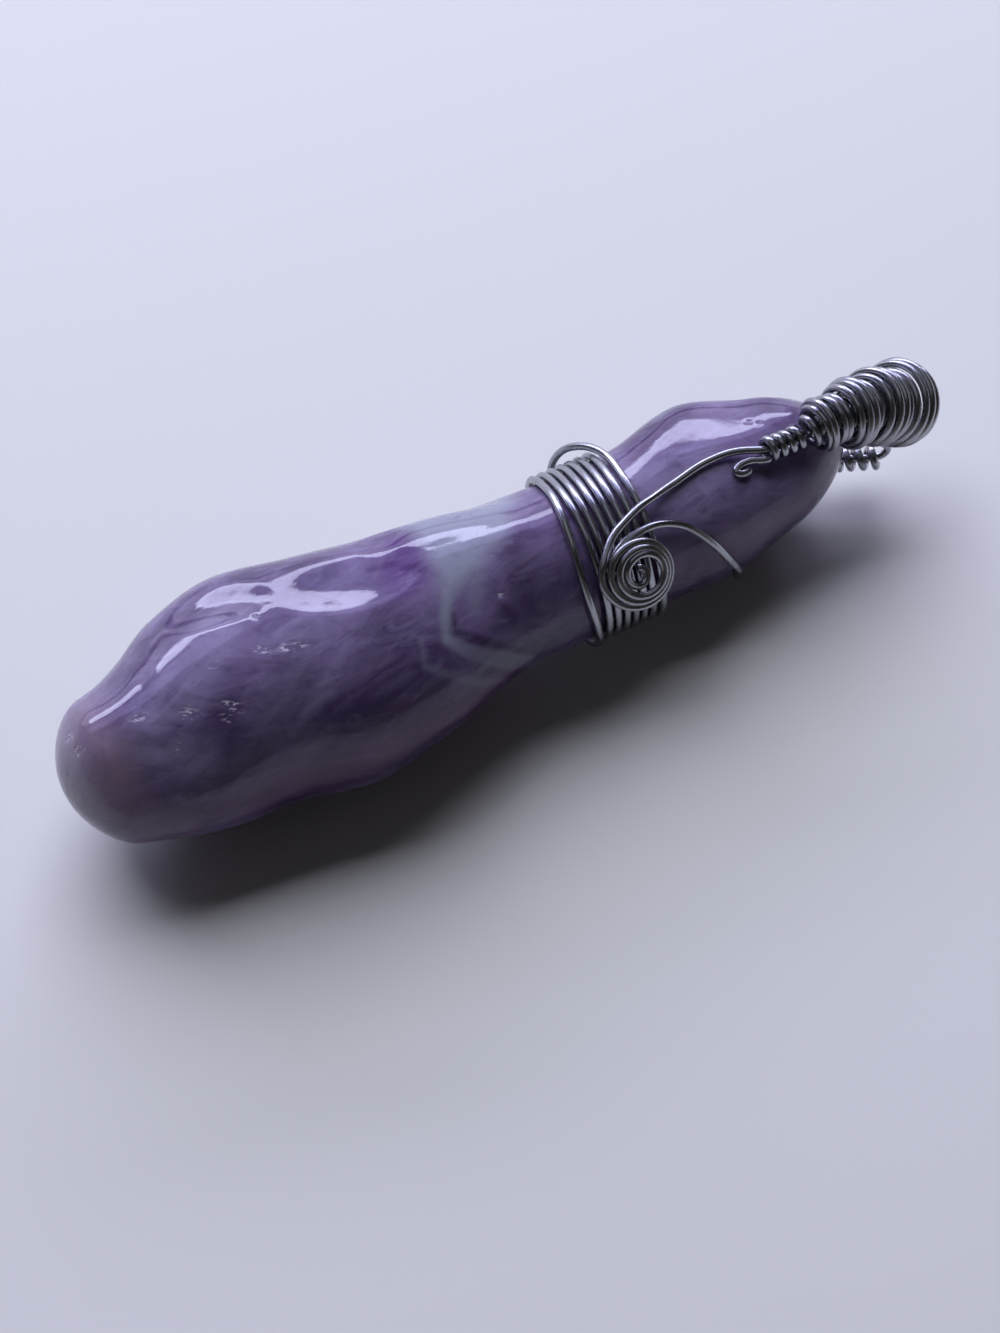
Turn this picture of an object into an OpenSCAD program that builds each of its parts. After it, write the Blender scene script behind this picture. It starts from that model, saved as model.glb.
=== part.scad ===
// Amethyst pendant: a polished, twisted stone wand, bound at its waist and hung in steel wire.
// Millimetres. It lies on the plane z = 0, along X, with its loops at +X.
// Points are first worked out in the stone's own frame: station along X from the blunt tip,
// y across, z above the plane. Each module then centres them on the origin.

/* [Stone] */
// Length of the stone, tip to tip
stone_length = 87.4; // [86.8:0.2:88]
// Width of the stone at its fat end
stone_width = 24; // [23.4:0.2:24.4]
// Number of soft ridges that wind along the stone
ridges = 4; // [3:1:5]
// Height of the ridges, as a share of the radius
ridge_rise = 0.02; // [0:0.005:0.025]
// Turn of the ridges, in degrees for each millimetre along the stone
ridge_turn = 2; // [0:0.1:3]

/* [Wire] */
// Diameter of the wire, the same all over
wire_d = 0.8; // [0.7:0.02:0.8]
// Gap between a wire and what it lies on
gap = 0.12; // [0.1:0.01:0.15]
// Pitch of the spiral's turns
spiral_pitch = 0.95; // [0.93:0.01:0.97]
// Number of turns in the small coil on the front
front_turns = 4.5; // [3.5:0.25:4.75]
// Number of turns in the small coil at the back
back_turns = 3.5; // [3:0.25:4]
// Radius of the last loop that the pendant hangs by, to the middle of the wire
last_loop_r = 3.85; // [3.75:0.05:3.95]

/* [Hidden] */
// Columns of SECTIONS
STATION = 0;
HALF_WIDTH = 1;
HALF_HEIGHT = 2;
MID_Y = 3;
MID_Z = 4;
// station, half width, half height, middle y, middle z: the stone's body without its rounded tips
SECTIONS = [
    [0, 6.6, 6.0, -2.7, 11.0],
    [6, 8.1, 7.6, -2.8, 10.9],
    [10, 9.4, 8.8, -2.5, 10.9],
    [14, 10.8, 10.0, -1.7, 10.9],
    [21, 11.8, 10.95, -0.9, 10.85],
    [29, 12.0, 11.2, -2.2, 10.85],
    [36, 11.0, 10.5, -2.0, 10.7],
    [43, 9.7, 9.5, -1.3, 10.4],
    [49, 8.6, 8.6, -0.8, 10.2],
    [56, 8.1, 8.1, -0.5, 9.9],
    [64, 8.1, 8.0, -0.1, 9.6],
    [72, 9.0, 8.4, 1.1, 9.2],
    [79, 7.1, 7.2, 0.9, 9.2],
    [stone_length, 5.0, 6.0, 1.0, 9.3],
];
drawn_width = 24;
// Length of each rounded tip
blunt_tip = 5;
slim_tip = 8;
// A ridge crosses this angle at this station
ridge_angle = 45;
ridge_station = 29;
// Hollows polished into the stone, and one low mound: station, angle, reach along, reach around
// in degrees, lean in degrees for each millimetre, depth
HOLLOWS = [
    [32.5, 72, 9, 22, 1, 0.8],
    [20, 58, 6, 19, 1.6, 0.7],
    [7.5, 30, 4.5, 40, 0, 0.3],
    [46, 205, 7, 45, 2, 0.6],
    [75, 66, 8, 26, 0, 0.4],
    [37.5, 52, 3, 14, 0, 0.25],
    [43, 48, 9, 26, 0.5, -0.5],
];
// How steeply a hollow falls in from its rim
hollow_power = 1.6;
// The plane that the pendant rests on, as a station at z = 0 and a rise for each millimetre
rest_station = 21.9;
rest_rise = 0.005;
// The middle of the whole pendant in the stone's frame
middle = [48.38, -1.58, 0];

sides = 6;
stone_sides = 36;
// Height of a wire's middle above what it lies on, and of a second wire over the first
lay = wire_d / 2 + gap;
over = lay + wire_d + gap;
small_coil_r = wire_d + 1.5 * gap;

function unit(v) = v / norm(v);
function mix(a, b, t) = a + (b - a) * t;

// Smooth curve through the section table
function row_at(s, i = 0) =
    i >= len(SECTIONS) - 2 || s < SECTIONS[i + 1][STATION] ? i : row_at(s, i + 1);
function row_slope(i) =
    let (a = SECTIONS[max(i - 1, 0)], b = SECTIONS[min(i + 1, len(SECTIONS) - 1)])
    (b - a) / (b[STATION] - a[STATION]);
function section(s) =
    let (
        i = row_at(s),
        p = SECTIONS[i],
        q = SECTIONS[i + 1],
        step = q[STATION] - p[STATION],
        w = (s - p[STATION]) / step
    )
    (2 * w ^ 3 - 3 * w ^ 2 + 1) * p + (w ^ 3 - 2 * w ^ 2 + w) * step * row_slope(i)
    + (3 * w ^ 2 - 2 * w ^ 3) * q + (w ^ 3 - w ^ 2) * step * row_slope(i + 1);

// Share of the full radius near the tips
function rounding(from_tip, reach) = sqrt(max(0, 1 - max(0, 1 - from_tip / reach) ^ 2));
function tips(s) = rounding(s, blunt_tip) * rounding(stone_length - s, slim_tip);

function hollow(h, s, angle) =
    let (
        along = (s - h[0]) / h[2],
        around = ((angle - h[1] - h[4] * (s - h[0]) + 900) % 360 - 180) / h[3],
        inside = max(0, 1 - along ^ 2 - around ^ 2)
    )
    h[5] * inside ^ hollow_power;
function hollows(s, angle, i = 0) =
    i == len(HOLLOWS) ? 0 : hollow(HOLLOWS[i], s, angle) + hollows(s, angle, i + 1);

// The stone's radius at a station and an angle, which runs from +Y up to +Z
function radius(s, angle) =
    let (
        c = section(s),
        wide = stone_width / drawn_width,
        oval = 1 / norm([cos(angle) / (c[HALF_WIDTH] * wide), sin(angle) / c[HALF_HEIGHT]]),
        ridge = cos(ridges * (angle - ridge_angle - ridge_turn * (s - ridge_station)))
    )
    tips(s) * (oval * (1 + ridge_rise * ridge) - hollows(s, angle));

// A point at [station, angle, height above the stone]
function on_stone(q) =
    let (c = section(q[0]), r = radius(q[0], q[1]) + q[2])
    [q[0], c[MID_Y] + r * cos(q[1]), c[MID_Z] + r * sin(q[1])];

// Smooth curve through points chosen by hand
function curve_point(p, i, t) =
    let (
        n = len(p) - 1,
        a = p[max(i - 1, 0)],
        b = p[i],
        c = p[min(i + 1, n)],
        d = p[min(i + 2, n)]
    )
    b + t * ((c - a) / 2 + t * (a - 2.5 * b + 2 * c - d / 2 + t * (3 * (b - c) + d - a) / 2));
function curve(p, steps) = [
    for (i = [0 : len(p) - 2], k = [0 : steps - 1]) curve_point(p, i, k / steps),
    p[len(p) - 1]
];

// Directions along a path, and a square pair that is carried along it without twisting
function headings(p) =
    [for (i = [0 : len(p) - 1]) unit(p[min(i + 1, len(p) - 1)] - p[max(i - 1, 0)])];
function square_to(v, heading) = unit(v - (v * heading) * heading);
function sideways(h, first) = [
    for (i = 0, n = square_to(first, h[0]); i < len(h); i = i + 1, n = i < len(h) ? square_to(n, h[i]) : n)
    n
];

// A coil wound round a core; each row of the core is x, y, z, the coil's radius there and its
// lean, by which the top of a turn leads its middle
function coil(core, turns, phase) =
    let (
        middles = [for (row = core) [row[0], row[1], row[2]]],
        h = headings(middles),
        n = sideways(h, [0, 0, 1]),
        last = len(core) - 1
    )
    [
        for (i = [0 : last])
        let (a = phase + 360 * turns * i / last)
        middles[i] + core[i][3] * (cos(a) * n[i] + sin(a) * cross(h[i], n[i]))
        + core[i][4] * cos(a) * h[i]
    ];

// A closed skin over rings of points
module skin(rings) {
    m = len(rings[0]);
    last = len(rings) - 1;
    walls = [
        for (i = [0 : last - 1], k = [0 : m - 1])
        let (a = i * m + k, b = i * m + (k + 1) % m)
        each [[a, a + m, b + m], [a, b + m, b]]
    ];
    ends = [[for (k = [0 : m - 1]) k], [for (k = [m - 1 : -1 : 0]) last * m + k]];
    polyhedron([for (ring = rings) each ring], concat(walls, ends));
}

// A round wire along a path in the stone's frame
module wire(path, first = [0, 0, 1]) {
    h = headings(path);
    n = sideways(h, first);
    translate(-middle)
        color("dimgray")
            skin([
                for (i = [0 : len(path) - 1])
                [
                    for (k = [0 : sides - 1])
                    let (a = 360 * k / sides)
                    path[i] + wire_d / 2 * (cos(a) * n[i] + sin(a) * cross(h[i], n[i]))
                ]
            ]);
}

// Stations of the stone's rings: close together in the rounded tips, even between them
tip_rings = 5;
body_rings = 22;
end_inset = 0.02;
function stone_stations() = concat(
    [for (k = [0 : tip_rings - 1]) max(end_inset, blunt_tip * (1 - cos(90 * k / tip_rings)))],
    [for (k = [0 : body_rings]) mix(blunt_tip, stone_length - slim_tip, k / body_rings)],
    [
        for (k = [tip_rings - 1 : -1 : 0])
        stone_length - max(end_inset, slim_tip * (1 - cos(90 * k / tip_rings)))
    ]
);

// The stone's underside has a small flat in the plane that the pendant rests on
function rested(p) = [p[0], p[1], max(p[2], rest_rise * (p[0] - rest_station))];

module stone() {
    translate(-middle)
        color("mediumpurple")
            skin([
                for (s = stone_stations())
                [for (k = [0 : stone_sides - 1]) rested(on_stone([s, 360 * k / stone_sides, 0]))]
            ]);
}

// The loose strand over the waist: [station, angle, height above the stone]
ARCH = [
    [57.6, -56, over],
    [57.9, -36, over],
    [58.2, -12, 1.5],
    [58.6, 6, 2.1],
    [59.8, 22, 2.5],
    [61.4, 37, 1.9],
    [62.4, 52, 0.9],
    [62.5, 68, lay],
];
// Stations where each turn round the waist crosses the angle at which the strand comes down
LANES = [62.5, 61.0, 59.6, 58.3, 57.05, 56.1, 55.15];
lane_angle = 68;
waist_steps = 25;
// The last turn strays from the rest and comes back over them
STRAY = [
    [54.95, 82, lay],
    [54.6, 98, lay],
    [54.2, 126, lay],
    [54.2, 150, lay],
    [54.5, 172, 0.55],
    [54.8, 192, 0.7],
    [54.9, 220, 0.9],
    [54.9, 250, 0.95],
];

function waist_turn(t) =
    let (i = min(floor(t), len(LANES) - 2))
    [mix(LANES[i], LANES[i + 1], t - i), lane_angle + 360 * t, lay];

module waist_binding() {
    last = len(LANES) - 1;
    turns = [for (i = [1 : last * waist_steps]) waist_turn(i / waist_steps)];
    stray = curve([for (q = STRAY) q + [0, 360 * last, 0]], 2);
    wire([for (q = concat(curve(ARCH, 3), turns, stray)) on_stone(q)]);
}

// The spiral lies on the binding as a flat disc, tipped a little towards the loops
spiral_middle = [59.2, -8.2, 17.0];
spiral_face = unit([0.02, -0.73, 0.68]);
spiral_along = square_to([1, 0, 0], spiral_face);
spiral_down = cross(spiral_along, spiral_face);
spiral_r = 3.75;
spiral_turns = 3.1;
spiral_steps = 18;
spiral_drift = 0.25;
spiral_sink = 0.2;

function spiral_point(t) =
    let (r = spiral_r - spiral_pitch * t, share = max(0, t) / spiral_turns)
    spiral_middle + spiral_drift * share * spiral_along - spiral_sink * share * spiral_face
    + r * (sin(360 * t) * spiral_down - cos(360 * t) * spiral_along);

// Where the front wire runs through the small coil, [station, angle, height above the stone]
coil_lay = small_coil_r + lay;
FRONT_CORE = [
    [76.6, 107, coil_lay],
    [78.6, 107, coil_lay],
    [80.8, 106, coil_lay],
];
STEM = [
    [75.0, 103, 1.0],
    [73.0, 100, 0.65],
    [70.0, 99, lay],
    [67.3, 100, lay],
    [65.0, 101, 0.7],
    [63.4, 103, 1.2],
    [62.0, 104.5, 1.5],
    [60.0, 109, 1.7],
    [58.0, 114.5, 2.1],
];
// The inner winding, on which the neck and the loops are wound: x, y, z, radius, lean
INNER = [
    [81.75, -1.4, 17.55, 0.5, 0],
    [83.6, -1.18, 17.42, 1.05, 0],
    [85.5, -0.98, 16.97, 1.5, 0],
    [87.4, -0.78, 16.2, 1.9, 0],
    [89.3, -0.57, 15.2, 2.1, 0],
];
inner_steps = 10;
inner_turns = -4.4;
inner_phase = 200;
// The stem joins the spiral's circle this much of a turn ahead, in steps of this size
lead_start = -0.09;
lead_step = 0.03;

module front_scroll() {
    inner = coil(curve(INNER, inner_steps), inner_turns, inner_phase);
    wound = [for (i = [len(inner) - 1 : -1 : 1]) inner[i]];
    down = [for (i = [2 : -1 : 0]) on_stone(FRONT_CORE[i])];
    stem = [for (q = STEM) on_stone(q)];
    lead = [for (k = [0 : 2]) spiral_point(lead_start + lead_step * k)];
    turns = [for (i = [0 : spiral_turns * spiral_steps]) spiral_point(i / spiral_steps)];
    wire(concat(wound, curve(concat([inner[0]], down, stem, lead), 2), turns));
}

// The side wire: [station, angle, height above the stone], then free to the neck
ARC = [
    [57.6, 160, over],
    [57.0, 148, over],
    [57.0, 134, over],
    [57.7, 125, over],
    [59.4, 119.5, over],
    [61.3, 117.5, over],
    [63.2, 118.5, 1.2],
    [65.0, 123.5, 0.85],
    [66.4, 131, 0.65],
    [68.2, 148, lay],
    [69.6, 166, lay],
    [71.0, 187, lay],
    [71.8, 212, lay],
    [72.6, 240, lay],
    [73.6, 264, lay],
    [76.6, 274, lay],
    [80.3, 273, lay],
];
BACK_CORE = [
    [87.4, 0.6, 4.3],
    [89.2, -0.2, 4.5],
    [91.2, -1.1, 4.7],
];
BACK_RUN = [[83.6, 0.9, 2.7], [85.6, 0.9, 3.5]];
BACK_END = [[92.3, -1.3, 5.4], [92.1, -1.2, 6.7], [90.8, -0.8, 7.8], [89.1, -0.5, 8.8]];

module side_arc() {
    over_stone = [for (q = ARC) on_stone(q)];
    wire(curve(concat(over_stone, BACK_RUN, BACK_CORE, BACK_END), 2));
}

// The small coils; the front one has a tail beside the wire that it is wound on
coil_steps = 12;
front_phase = 110;
back_phase = 0;
TAIL = [
    [73.6, 106.5, lay],
    [74.8, 109.5, 0.7],
    [75.8, 112, 1.1],
];

module front_coil() {
    core = curve(
        [for (q = FRONT_CORE) concat(on_stone(q), small_coil_r, 0)],
        front_turns * coil_steps / 2
    );
    tail = [for (q = TAIL) on_stone(q)];
    wire(concat(curve(tail, 2), coil(core, front_turns, front_phase)));
}

module back_coil() {
    core = curve([for (p = BACK_CORE) concat(p, small_coil_r, 0)], back_turns * coil_steps / 2);
    wire(coil(core, back_turns, back_phase));
}

// The outer winding, about one turn a row, from the tip to the last loop. It swells in knobs and
// its turns grow into the loops: x, y, z, radius, lean
WINDING = [
    [81.6, -1.4, 17.6, 1.5, 0],
    [82.7, -1.28, 17.57, 1.95, 0],
    [83.82, -1.16, 17.42, 2.05, 0],
    [84.95, -1.05, 17.17, 2.5, 0.05],
    [86.05, -0.94, 16.83, 2.8, 0.1],
    [87.1, -0.83, 16.4, 2.8, 0.15],
    [88.12, -0.72, 15.9, 3.05, 0.2],
    [89.14, -0.61, 15.36, 3.4, 0.25],
    [90.16, -0.51, 14.78, 3.4, 0.3],
    [91.16, -0.41, 14.17, 3.5, 0.35],
    [92.16, -0.32, 13.53, 3.85, 0.4],
    [93.16, -0.23, 12.87, 3.95, 0.45],
    [94.05, -0.15, 12.25, last_loop_r, 0.4],
];
winding_steps = 14;
winding_turns = 11.75;
winding_phase = 253;
winding = coil(curve(WINDING, winding_steps), winding_turns, winding_phase);
// The wire of the neck ends under the stack, and that of the loops starts a step on
neck_last = 69;

module neck_wrap() {
    wire([for (i = [0 : neck_last]) winding[i]]);
}

module bail_loops() {
    wire([for (i = [neck_last + 1 : len(winding) - 1]) winding[i]]);
}

stone();
waist_binding();
front_scroll();
side_arc();
front_coil();
back_coil();
neck_wrap();
bail_loops();
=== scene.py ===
# %% [markdown]
# An amethyst pendant lies on a pale table: a polished, twisted wand of banded quartz, bound at its
# waist with steel wire that curls into a flat spiral, and wound into a stack of loops at one end.
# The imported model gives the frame. Every piece below is made where its solid in the frame is.

import math

import bpy
import numpy as np
from mathutils import Matrix, Vector


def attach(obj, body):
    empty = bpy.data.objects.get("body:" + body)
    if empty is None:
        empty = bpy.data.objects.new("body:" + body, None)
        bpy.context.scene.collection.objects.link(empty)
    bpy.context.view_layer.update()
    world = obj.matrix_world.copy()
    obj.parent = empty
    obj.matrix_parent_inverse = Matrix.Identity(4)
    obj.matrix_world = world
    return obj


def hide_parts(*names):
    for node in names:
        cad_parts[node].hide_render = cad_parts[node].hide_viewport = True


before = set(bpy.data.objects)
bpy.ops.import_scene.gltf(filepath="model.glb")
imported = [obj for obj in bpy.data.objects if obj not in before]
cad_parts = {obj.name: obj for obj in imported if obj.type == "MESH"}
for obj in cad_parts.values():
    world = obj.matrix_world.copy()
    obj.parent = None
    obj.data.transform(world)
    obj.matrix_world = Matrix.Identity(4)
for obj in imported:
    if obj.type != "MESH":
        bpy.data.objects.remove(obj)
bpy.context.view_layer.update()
print("frame:", sorted(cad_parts))

# %% [markdown]
# Two small helpers serve the whole file. One turns the sRGB hex value of a colour, as a painter
# reads it off a swatch, into the linear numbers that the renderer adds and multiplies. The other
# adds a node to any tree, with its settings and with what is plugged into it.

# %% Helpers for colours and nodes
MM = 0.001


def linear(hex_colour):
    """A colour such as #5a4080 as linear red, green, blue and alpha."""
    parts = [int(hex_colour[i : i + 2], 16) / 255 for i in (1, 3, 5)]
    return [*(p / 12.92 if p <= 0.04045 else ((p + 0.055) / 1.055) ** 2.4 for p in parts), 1.0]


def node(tree, kind, plugs=None, **settings):
    """Adds a node, sets its properties, and fills its inputs with values or other sockets."""
    made = tree.nodes.new(kind)
    for name, value in settings.items():
        setattr(made, name, value)
    for name, value in (plugs or {}).items():
        socket = made.inputs[name]
        if isinstance(value, bpy.types.NodeSocket):
            tree.links.new(value, socket)
        else:
            socket.default_value = value
    return made


print("mid grey #808080 is", round(linear("#808080")[0], 3), "in linear light")

# %% [markdown]
# The stone is a hand-polished wand, so no simple solid fits it. Its shape is read at any station
# along its length and any angle round it: an oval that swells and narrows, four soft ridges that
# wind round it, rounded tips, one low mound, and a few hollows where the polisher's wheel dipped
# in. The hollows are what shapes the long reflections. The numbers are those of the solid in the
# frame, in millimetres and in the stone's own frame, so the finer mesh lies on the solid.

# %% The stone's shape
STONE_LENGTH = 87.4
BLUNT_TIP, SLIM_TIP = 5.0, 8.0
MIDDLE = np.array([48.38, -1.58, 0.0])  # the pendant's middle in the stone's frame
# station, half width, half height, middle y, middle z
SECTIONS = np.array([
    [0, 6.6, 6.0, -2.7, 11.0],
    [6, 8.1, 7.6, -2.8, 10.9],
    [10, 9.4, 8.8, -2.5, 10.9],
    [14, 10.8, 10.0, -1.7, 10.9],
    [21, 11.8, 10.95, -0.9, 10.85],
    [29, 12.0, 11.2, -2.2, 10.85],
    [36, 11.0, 10.5, -2.0, 10.7],
    [43, 9.7, 9.5, -1.3, 10.4],
    [49, 8.6, 8.6, -0.8, 10.2],
    [56, 8.1, 8.1, -0.5, 9.9],
    [64, 8.1, 8.0, -0.1, 9.6],
    [72, 9.0, 8.4, 1.1, 9.2],
    [79, 7.1, 7.2, 0.9, 9.2],
    [STONE_LENGTH, 5.0, 6.0, 1.0, 9.3],
])
RIDGES, RIDGE_RISE, RIDGE_TURN = 4, 0.02, 2.0
RIDGE_ANGLE, RIDGE_STATION = 45.0, 29.0
# hollows, and one low mound: station, angle, reach along, reach round in degrees, lean in degrees
# for each mm, depth
HOLLOWS = [
    (32.5, 72, 9, 22, 1, 0.8),
    (20, 58, 6, 19, 1.6, 0.7),
    (7.5, 30, 4.5, 40, 0, 0.3),
    (46, 205, 7, 45, 2, 0.6),
    (75, 66, 8, 26, 0, 0.4),
    (37.5, 52, 3, 14, 0, 0.25),
    (43, 48, 9, 26, 0.5, -0.5),
]
HOLLOW_POWER = 1.6  # how steeply a hollow falls in from its rim
REST_STATION, REST_RISE = 21.9, 0.005  # the plane that the pendant rests on


def section(s):
    """Half width, half height, middle y and middle z at stations s, on a smooth curve."""
    at, rows = SECTIONS[:, 0], SECTIONS[:, 1:]
    i = np.clip(np.searchsorted(at, s, side="right") - 1, 0, len(at) - 2)
    before, after = np.maximum(np.arange(len(at)) - 1, 0), np.minimum(np.arange(len(at)) + 1, len(at) - 1)
    slopes = (rows[after] - rows[before]) / (at[after] - at[before])[:, None]
    step = (at[i + 1] - at[i])[:, None]
    w = ((s - at[i]) / step[:, 0])[:, None]
    return (
        (2 * w**3 - 3 * w**2 + 1) * rows[i]
        + (w**3 - 2 * w**2 + w) * step * slopes[i]
        + (3 * w**2 - 2 * w**3) * rows[i + 1]
        + (w**3 - w**2) * step * slopes[i + 1]
    )


def rounding(from_tip, reach):
    """Share of the full radius near a rounded tip."""
    return np.sqrt(np.maximum(0, 1 - np.maximum(0, 1 - from_tip / reach) ** 2))


def turned(angle):
    """An angle in degrees brought to between -180 and 180."""
    return (angle + 180) % 360 - 180


def hollows(s, angle):
    """How deep the polished hollows go, in mm."""
    depth = np.zeros_like(s)
    for at, towards, along, round_it, lean, deep in HOLLOWS:
        u = (s - at) / along
        v = turned(angle - towards - lean * (s - at)) / round_it
        depth += deep * np.maximum(0, 1 - u**2 - v**2) ** HOLLOW_POWER
    return depth


def on_stone(points):
    """Rows of station, angle and height above the stone, as points in mm."""
    s, angle, height = np.asarray(points, float).T
    half_width, half_height, mid_y, mid_z = section(s).T
    a = np.radians(angle)
    oval = 1 / np.hypot(np.cos(a) / half_width, np.sin(a) / half_height)
    ridge = np.cos(RIDGES * np.radians(angle - RIDGE_ANGLE - RIDGE_TURN * (s - RIDGE_STATION)))
    tips = rounding(s, BLUNT_TIP) * rounding(STONE_LENGTH - s, SLIM_TIP)
    r = tips * (oval * (1 + RIDGE_RISE * ridge) - hollows(s, angle)) + height
    return np.stack([s, mid_y + r * np.cos(a), mid_z + r * np.sin(a)], 1)


def to_frame(points):
    """Points in mm in the stone's frame, as metres in the shared frame."""
    return (np.asarray(points) - MIDDLE) * MM


print("top of the stone at its fat end:", to_frame(on_stone([[29, 90, 0]])).round(4).tolist())

# %% [markdown]
# Colour in a crystal like this lies in zones: milky bands where it grew quickly, deep violet
# between them, and nearly clear quartz at the tips. A noise texture can't place such bands, and a
# painted image isn't wanted here. So each zone is a brush stroke on the unrolled stone, a line of
# a few points with a width, and every vertex stores how much of each pigment it has. The strokes
# after the tips' are for the far side and the underside, which carry on in the same manner. The
# material mixes the pigments later, and breaks their edges up with finer clouds.

# %% Brush strokes for the zones of colour
ROUND_MM = 0.175  # mm round the stone for each degree, at its mean radius
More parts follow.
